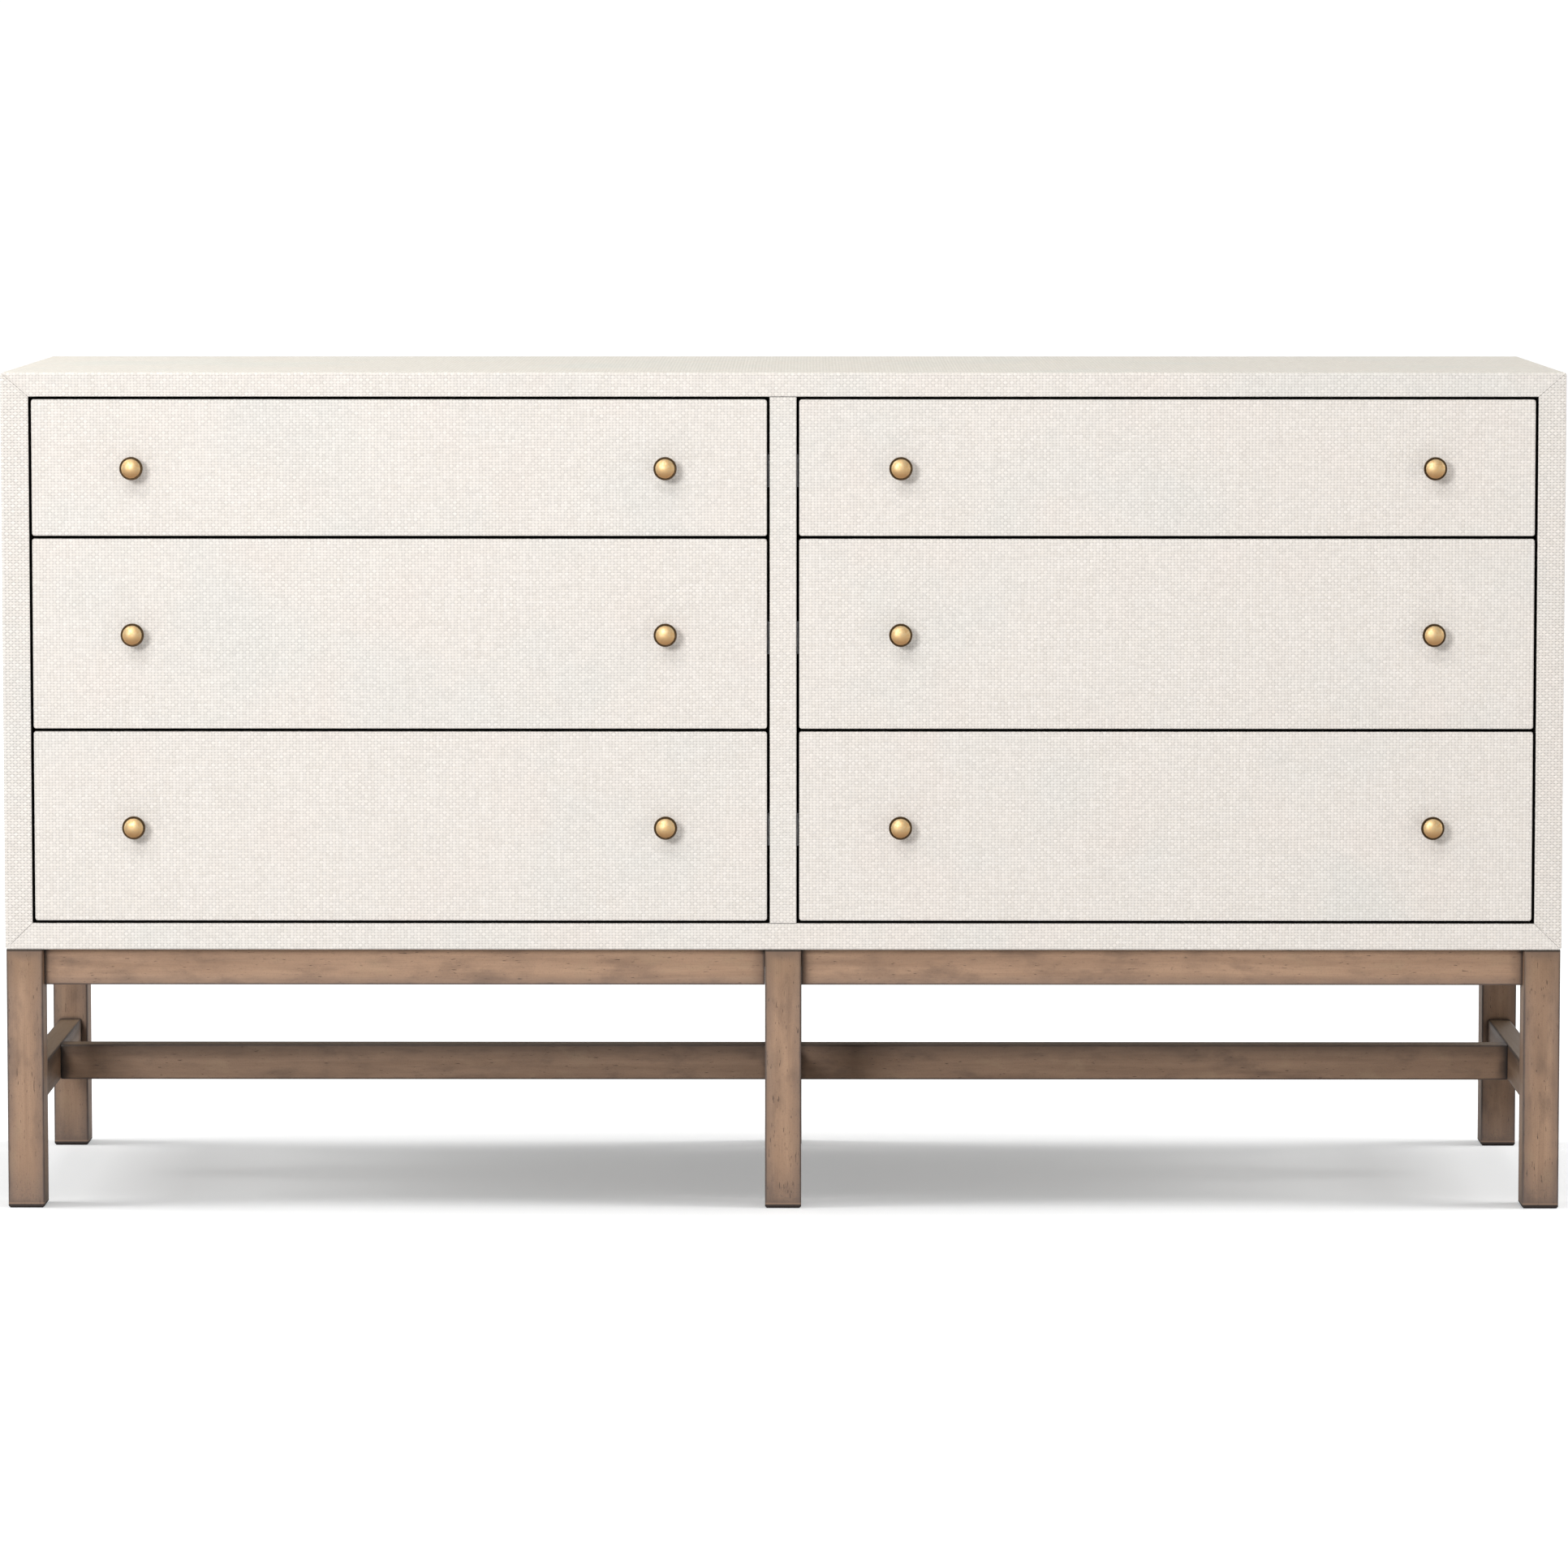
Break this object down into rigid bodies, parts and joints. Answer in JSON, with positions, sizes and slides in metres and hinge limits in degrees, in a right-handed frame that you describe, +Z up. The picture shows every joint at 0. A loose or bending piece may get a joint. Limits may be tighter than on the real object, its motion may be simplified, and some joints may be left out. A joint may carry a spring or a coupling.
{
  "type": "dresser with drawers",
  "caption": "Wide low dresser: mitred case wrapped in woven raffia, flush drawers with small domed brass knobs, on an open base of washed hardwood legs and stretchers.",
  "frame": {"origin": "on the floor, under the middle of the whole object's box, knobs included", "axes": "+X to the right as seen from the front, +Y from the front to the back, +Z up; the drawers pull out along -Y"},
  "size_m": [1.676, 0.482, 0.903],
  "materials": {
    "woven_cover": "board wrapped in cream woven raffia under matt lacquer",
    "washed_wood": "washed light brown hardwood with dark glaze in the corners, satin",
    "box_wood": "clear satin lacquer on pale wood",
    "back_board": "stained board, matt",
    "antique_brass": "antique brass, soft satin with dark rim",
    "slide_steel": "zinc plated"
  },
  "bodies": {
    "cabinet": {"top_panel": "woven_cover", "left_side_panel": "woven_cover", "right_side_panel": "woven_cover", "bottom_panel": "woven_cover", "centre_divider": "woven_cover", "back_panel": "back_board", "front_left_leg": "washed_wood", "front_centre_leg": "washed_wood", "front_right_leg": "washed_wood", "back_left_leg": "washed_wood", "back_centre_leg": "washed_wood", "back_right_leg": "washed_wood", "front_left_apron": "washed_wood", "front_right_apron": "washed_wood", "back_left_apron": "washed_wood", "back_right_apron": "washed_wood", "left_cross_rail": "washed_wood", "centre_cross_rail": "washed_wood", "right_cross_rail": "washed_wood", "left_cross_stretcher": "washed_wood", "centre_cross_stretcher": "washed_wood", "right_cross_stretcher": "washed_wood", "left_long_stretcher": "washed_wood", "right_long_stretcher": "washed_wood", "top_left_slide_left": "slide_steel", "top_left_slide_right": "slide_steel", "top_right_slide_left": "slide_steel", "top_right_slide_right": "slide_steel", "middle_left_slide_left": "slide_steel", "middle_left_slide_right": "slide_steel", "middle_right_slide_left": "slide_steel", "middle_right_slide_right": "slide_steel", "bottom_left_slide_left": "slide_steel", "bottom_left_slide_right": "slide_steel", "bottom_right_slide_left": "slide_steel", "bottom_right_slide_right": "slide_steel"},
    "top_left_drawer": {"top_left_drawer_front": "woven_cover", "top_left_drawer_box": "box_wood", "top_left_knob_left": "antique_brass", "top_left_knob_right": "antique_brass"},
    "top_right_drawer": {"top_right_drawer_front": "woven_cover", "top_right_drawer_box": "box_wood", "top_right_knob_left": "antique_brass", "top_right_knob_right": "antique_brass"},
    "middle_left_drawer": {"middle_left_drawer_front": "woven_cover", "middle_left_drawer_box": "box_wood", "middle_left_knob_left": "antique_brass", "middle_left_knob_right": "antique_brass"},
    "middle_right_drawer": {"middle_right_drawer_front": "woven_cover", "middle_right_drawer_box": "box_wood", "middle_right_knob_left": "antique_brass", "middle_right_knob_right": "antique_brass"},
    "bottom_left_drawer": {"bottom_left_drawer_front": "woven_cover", "bottom_left_drawer_box": "box_wood", "bottom_left_knob_left": "antique_brass", "bottom_left_knob_right": "antique_brass"},
    "bottom_right_drawer": {"bottom_right_drawer_front": "woven_cover", "bottom_right_drawer_box": "box_wood", "bottom_right_knob_left": "antique_brass", "bottom_right_knob_right": "antique_brass"}
  },
  "joints": [
    {"name": "top_left_drawer_slide", "type": "slide", "parent": "cabinet", "child": "top_left_drawer", "axis": [0, -1, 0], "range_m": [0, 0.3]},
    {"name": "top_right_drawer_slide", "type": "slide", "parent": "cabinet", "child": "top_right_drawer", "axis": [0, -1, 0], "range_m": [0, 0.3]},
    {"name": "middle_left_drawer_slide", "type": "slide", "parent": "cabinet", "child": "middle_left_drawer", "axis": [0, -1, 0], "range_m": [0, 0.3]},
    {"name": "middle_right_drawer_slide", "type": "slide", "parent": "cabinet", "child": "middle_right_drawer", "axis": [0, -1, 0], "range_m": [0, 0.3]},
    {"name": "bottom_left_drawer_slide", "type": "slide", "parent": "cabinet", "child": "bottom_left_drawer", "axis": [0, -1, 0], "range_m": [0, 0.3]},
    {"name": "bottom_right_drawer_slide", "type": "slide", "parent": "cabinet", "child": "bottom_right_drawer", "axis": [0, -1, 0], "range_m": [0, 0.3]}
  ]
}
